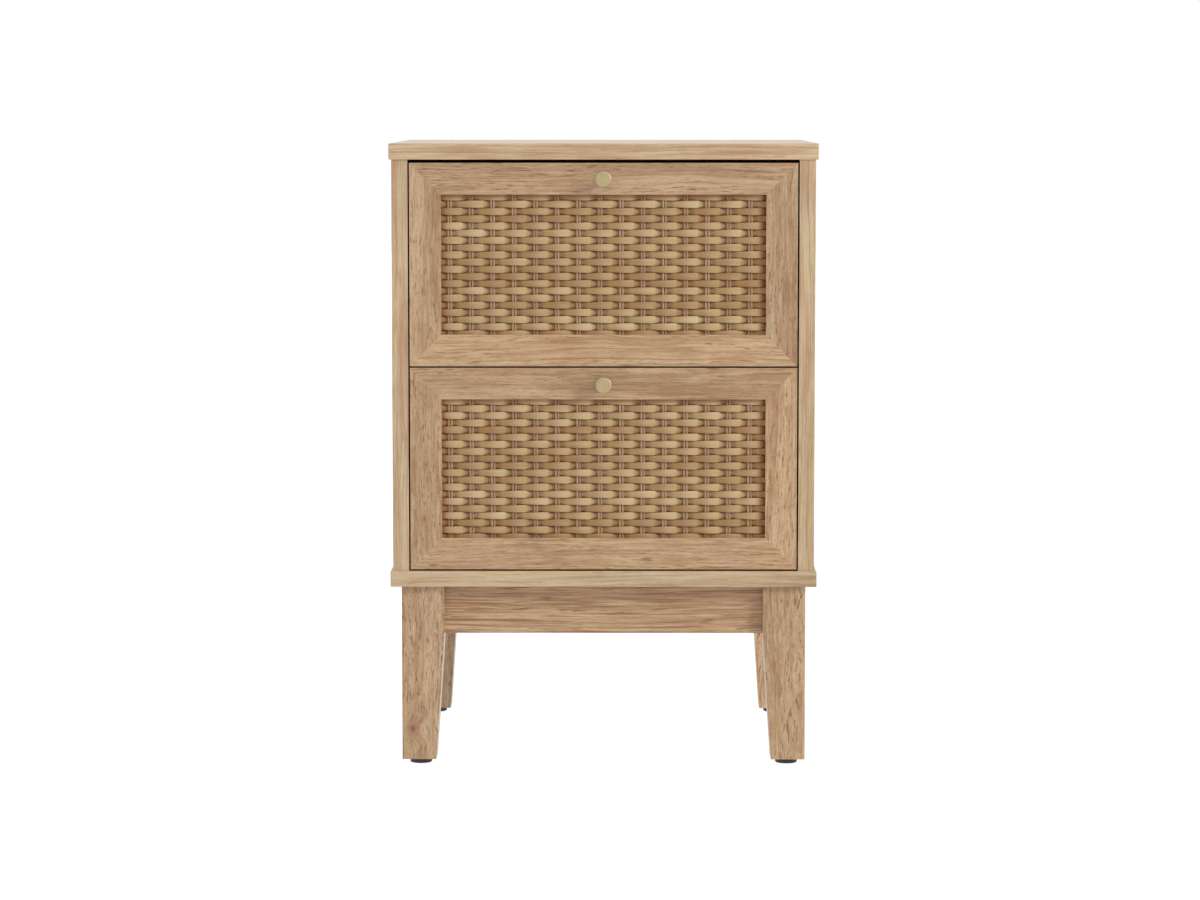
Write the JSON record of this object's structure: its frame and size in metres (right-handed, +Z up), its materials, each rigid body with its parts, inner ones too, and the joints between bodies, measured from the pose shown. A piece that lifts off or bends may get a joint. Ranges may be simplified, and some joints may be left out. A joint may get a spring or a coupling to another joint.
{
  "type": "nightstand with drawers",
  "caption": "Small oak nightstand on tapered legs: woven rattan drawer fronts in mitred frames with small round knobs, drawers run on roller slides.",
  "frame": {"origin": "on the floor, at the middle of the footprint including the knobs", "axes": "+Z up, the drawer fronts and knobs face -Y, +X to the right seen from the front"},
  "size_m": [0.4, 0.366, 0.585],
  "materials": {
    "oak": "light oak veneer or laminate, satin",
    "oak_frame": "light oak veneer or laminate, satin, mitred frame members",
    "oak_leg": "light oak veneer or laminate, satin, tapered legs and aprons",
    "rattan": "plain weave of split cane over thin paired cane warps, natural",
    "ply": "birch plywood, drawer boxes and backing boards",
    "hardboard": "thin hardboard, pale coated face",
    "dowel": "beech, fluted dowels",
    "knob": "pale brushed brass",
    "zinc": "zinc plated",
    "cam": "die-cast zinc, dull grey",
    "insert": "turned brass",
    "rail": "white epoxy-coated sheet steel",
    "roller": "off-white nylon",
    "glide": "black nylon glide"
  },
  "bodies": {
    "cabinet": {"top_board": "oak", "bottom_board": "oak", "left_side_panel": "oak", "right_side_panel": "oak", "back_panel": "hardboard", "front_left_leg": "oak_leg", "front_right_leg": "oak_leg", "rear_left_leg": "oak_leg", "rear_right_leg": "oak_leg", "front_apron": "oak_leg", "rear_apron": "oak_leg", "left_apron": "oak_leg", "right_apron": "oak_leg", "leg_glides": "glide", "carcass_dowels": "dowel", "cam_bolts": "zinc", "cam_locks": "cam", "apron_dowels": "dowel", "leg_screws": "zinc", "leg_inserts": "insert", "upper_cabinet_rails": "rail", "lower_cabinet_rails": "rail", "cabinet_rail_screws": "zinc", "cabinet_roller_rivets": "zinc"},
    "upper_drawer": {"upper_front_top_rail": "oak_frame", "upper_front_bottom_rail": "oak_frame", "upper_front_left_stile": "oak_frame", "upper_front_right_stile": "oak_frame", "upper_rattan_panel": "rattan", "upper_backing_board": "ply", "upper_left_side": "ply", "upper_right_side": "ply", "upper_back": "ply", "upper_floor": "hardboard", "upper_box_dowels": "dowel", "upper_rail_screws": "zinc", "upper_drawer_rails": "rail", "upper_roller_rivets": "zinc", "upper_knob": "knob", "upper_knob_screw": "zinc"},
    "upper_cabinet_rollers": {"upper_cabinet_rollers": "roller"},
    "upper_drawer_rollers": {"upper_drawer_rollers": "roller"},
    "lower_drawer": {"lower_front_top_rail": "oak_frame", "lower_front_bottom_rail": "oak_frame", "lower_front_left_stile": "oak_frame", "lower_front_right_stile": "oak_frame", "lower_rattan_panel": "rattan", "lower_backing_board": "ply", "lower_left_side": "ply", "lower_right_side": "ply", "lower_back": "ply", "lower_floor": "hardboard", "lower_box_dowels": "dowel", "lower_rail_screws": "zinc", "lower_drawer_rails": "rail", "lower_roller_rivets": "zinc", "lower_knob": "knob", "lower_knob_screw": "zinc"},
    "lower_cabinet_rollers": {"lower_cabinet_rollers": "roller"},
    "lower_drawer_rollers": {"lower_drawer_rollers": "roller"}
  },
  "joints": [
    {"name": "upper_drawer_slide", "type": "slide", "parent": "cabinet", "child": "upper_drawer", "axis": [0, -1, 0], "range_m": [0, 0.22]},
    {"name": "upper_cabinet_roller_spin", "type": "hinge", "parent": "cabinet", "child": "upper_cabinet_rollers", "pos_m": [0, -0.135, 0.3882], "axis": [1, 0, 0], "continuous": true},
    {"name": "upper_drawer_roller_spin", "type": "hinge", "parent": "upper_drawer", "child": "upper_drawer_rollers", "pos_m": [0, 0.124, 0.3882], "axis": [1, 0, 0], "continuous": true},
    {"name": "lower_drawer_slide", "type": "slide", "parent": "cabinet", "child": "lower_drawer", "axis": [0, -1, 0], "range_m": [0, 0.22]},
    {"name": "lower_cabinet_roller_spin", "type": "hinge", "parent": "cabinet", "child": "lower_cabinet_rollers", "pos_m": [0, -0.135, 0.1972], "axis": [1, 0, 0], "continuous": true},
    {"name": "lower_drawer_roller_spin", "type": "hinge", "parent": "lower_drawer", "child": "lower_drawer_rollers", "pos_m": [0, 0.124, 0.1972], "axis": [1, 0, 0], "continuous": true}
  ],
  "couplings": [
    {"joint": "upper_cabinet_roller_spin", "follows": "upper_drawer_slide", "rad_per_m": 125},
    {"joint": "upper_drawer_roller_spin", "follows": "upper_drawer_slide", "rad_per_m": 125},
    {"joint": "lower_cabinet_roller_spin", "follows": "lower_drawer_slide", "rad_per_m": 125},
    {"joint": "lower_drawer_roller_spin", "follows": "lower_drawer_slide", "rad_per_m": 125}
  ]
}
